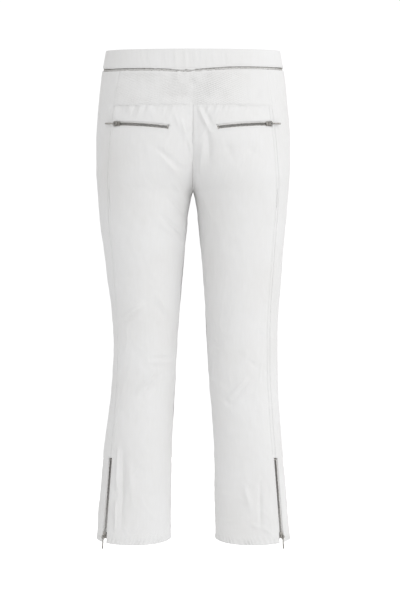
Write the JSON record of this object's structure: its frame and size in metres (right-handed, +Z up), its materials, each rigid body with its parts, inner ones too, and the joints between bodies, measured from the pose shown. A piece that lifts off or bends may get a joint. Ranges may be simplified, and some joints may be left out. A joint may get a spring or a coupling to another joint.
{
  "type": "slim ski pants",
  "caption": "Slim ankle-length ski pants in white twill, with a quilted back yoke, zipped back pockets, a zip line under the waistband and long side zips at the ankles.",
  "frame": {"origin": "middle of the waist opening, level with the waistband's flat top edge", "axes": "+Z up, +X the wearer's right, +Y the wearer's front, so the seat faces -Y"},
  "size_m": [0.3724, 0.2183, 0.954],
  "materials": {
    "twill": "white cotton stretch twill with fine topstitching",
    "lining": "plain white cotton pocketing",
    "zip_tape": "woven off-white tape",
    "elastic": "knitted elastic",
    "zip_metal": "aged nickel, polished on its high spots",
    "snap_metal": "aged nickel, satin"
  },
  "bodies": {
    "pants": {"ankle_zip_stop_left": "zip_metal", "ankle_zip_stop_right": "zip_metal", "ankle_zip_tape_left": "zip_tape", "ankle_zip_tape_right": "zip_tape", "ankle_zip_teeth_lower_left": "zip_metal", "ankle_zip_teeth_lower_right": "zip_metal", "ankle_zip_teeth_upper_left": "zip_metal", "ankle_zip_teeth_upper_right": "zip_metal", "back_panel_left": "twill", "back_panel_right": "twill", "back_pocket_bag_left": "lining", "back_pocket_bag_right": "lining", "back_yoke": "twill", "care_label": "lining", "fly_facing": "lining", "fly_shield": "lining", "fly_zip_stop": "zip_metal", "fly_zip_tape": "zip_tape", "fly_zip_teeth_lower": "zip_metal", "fly_zip_teeth_upper": "zip_metal", "front_panel_left": "twill", "front_panel_right": "twill", "pocket_zip_stop_left": "zip_metal", "pocket_zip_stop_right": "zip_metal", "pocket_zip_tape_left": "zip_tape", "pocket_zip_tape_right": "zip_tape", "pocket_zip_teeth_lower_left": "zip_metal", "pocket_zip_teeth_lower_right": "zip_metal", "pocket_zip_teeth_upper_left": "zip_metal", "pocket_zip_teeth_upper_right": "zip_metal", "snap_disc": "snap_metal", "snap_stud": "snap_metal", "waist_elastic": "elastic", "waist_underlap": "twill", "waist_zip_tape": "zip_tape", "waist_zip_teeth": "zip_metal", "waistband_facing": "lining", "waistband_outer": "twill", "yoke_backing": "lining"},
    "waist_tab": {"waist_tab": "twill", "snap_cap": "snap_metal", "snap_socket": "snap_metal"},
    "fly_slider": {"fly_zip_slider": "zip_metal"},
    "fly_pull": {"fly_zip_pull": "zip_metal"},
    "pocket_slider_left": {"pocket_zip_slider_left": "zip_metal"},
    "pocket_ring_left": {"pocket_zip_pull_ring_left": "zip_metal"},
    "pocket_bar_left": {"pocket_zip_pull_bar_left": "zip_metal"},
    "ankle_slider_left": {"ankle_zip_slider_left": "zip_metal"},
    "ankle_ring_left": {"ankle_zip_pull_ring_left": "zip_metal"},
    "ankle_bar_left": {"ankle_zip_pull_bar_left": "zip_metal"},
    "pocket_slider_right": {"pocket_zip_slider_right": "zip_metal"},
    "pocket_ring_right": {"pocket_zip_pull_ring_right": "zip_metal"},
    "pocket_bar_right": {"pocket_zip_pull_bar_right": "zip_metal"},
    "ankle_slider_right": {"ankle_zip_slider_right": "zip_metal"},
    "ankle_ring_right": {"ankle_zip_pull_ring_right": "zip_metal"},
    "ankle_bar_right": {"ankle_zip_pull_bar_right": "zip_metal"}
  },
  "joints": [
    {"name": "waist_tab_fold", "type": "hinge", "parent": "pants", "child": "waist_tab", "pos_m": [0.03, 0.08553, 0], "axis": [0.0142, 0.0581, -0.9982], "range_deg": [0, 100]},
    {"name": "fly_slide", "type": "slide", "parent": "pants", "child": "fly_slider", "axis": [0, -0.0368, -0.9993], "range_m": [0, 0.095]},
    {"name": "fly_pull_lift", "type": "hinge", "parent": "fly_slider", "child": "fly_pull", "pos_m": [0, 0.08297, -0.04781], "axis": [1, 0, 0], "range_deg": [0, 3]},
    {"name": "pocket_slide_left", "type": "hinge", "parent": "pants", "child": "pocket_slider_left", "pos_m": [-0.05146, 0.02875, -0.17064], "axis": [0.1187, 0.1328, 0.984], "range_deg": [0, 35.1]},
    {"name": "ankle_slide_left", "type": "slide", "parent": "pants", "child": "ankle_slider_left", "axis": [0.0757, -0.0247, 0.9968], "range_m": [0, 0.137]},
    {"name": "pocket_ring_swing_left", "type": "hinge", "parent": "pocket_slider_left", "child": "pocket_ring_left", "pos_m": [-0.14594, -0.09474, -0.14257], "axis": [0.1187, 0.1328, 0.984], "range_deg": [0, 95]},
    {"name": "pocket_bar_swing_left", "type": "hinge", "parent": "pocket_ring_left", "child": "pocket_bar_left", "pos_m": [-0.15196, -0.0901, -0.14247], "axis": [0.1187, 0.1328, 0.984], "range_deg": [0, 75]},
    {"name": "ankle_ring_swing_left", "type": "hinge", "parent": "ankle_slider_left", "child": "ankle_ring_left", "pos_m": [-0.17127, -0.03789, -0.92742], "axis": [-0.7394, 0.6693, 0.0727], "range_deg": [0, 95]},
    {"name": "ankle_bar_swing_left", "type": "hinge", "parent": "ankle_ring_left", "child": "ankle_bar_left", "pos_m": [-0.17184, -0.03771, -0.935], "axis": [-0.7394, 0.6693, 0.0727], "range_deg": [0, 75]},
    {"name": "pocket_slide_right", "type": "hinge", "parent": "pants", "child": "pocket_slider_right", "pos_m": [0.05146, 0.02875, -0.17064], "axis": [0.1187, -0.1328, -0.984], "range_deg": [0, 35.1]},
    {"name": "ankle_slide_right", "type": "slide", "parent": "pants", "child": "ankle_slider_right", "axis": [-0.0757, -0.0247, 0.9968], "range_m": [0, 0.137]},
    {"name": "pocket_ring_swing_right", "type": "hinge", "parent": "pocket_slider_right", "child": "pocket_ring_right", "pos_m": [0.14594, -0.09474, -0.14257], "axis": [0.1187, -0.1328, -0.984], "range_deg": [0, 95]},
    {"name": "pocket_bar_swing_right", "type": "hinge", "parent": "pocket_ring_right", "child": "pocket_bar_right", "pos_m": [0.15196, -0.0901, -0.14247], "axis": [0.1187, -0.1328, -0.984], "range_deg": [0, 75]},
    {"name": "ankle_ring_swing_right", "type": "hinge", "parent": "ankle_slider_right", "child": "ankle_ring_right", "pos_m": [0.17127, -0.03789, -0.92742], "axis": [-0.7394, -0.6693, -0.0727], "range_deg": [0, 95]},
    {"name": "ankle_bar_swing_right", "type": "hinge", "parent": "ankle_ring_right", "child": "ankle_bar_right", "pos_m": [0.17184, -0.03771, -0.935], "axis": [-0.7394, -0.6693, -0.0727], "range_deg": [0, 75]}
  ]
}
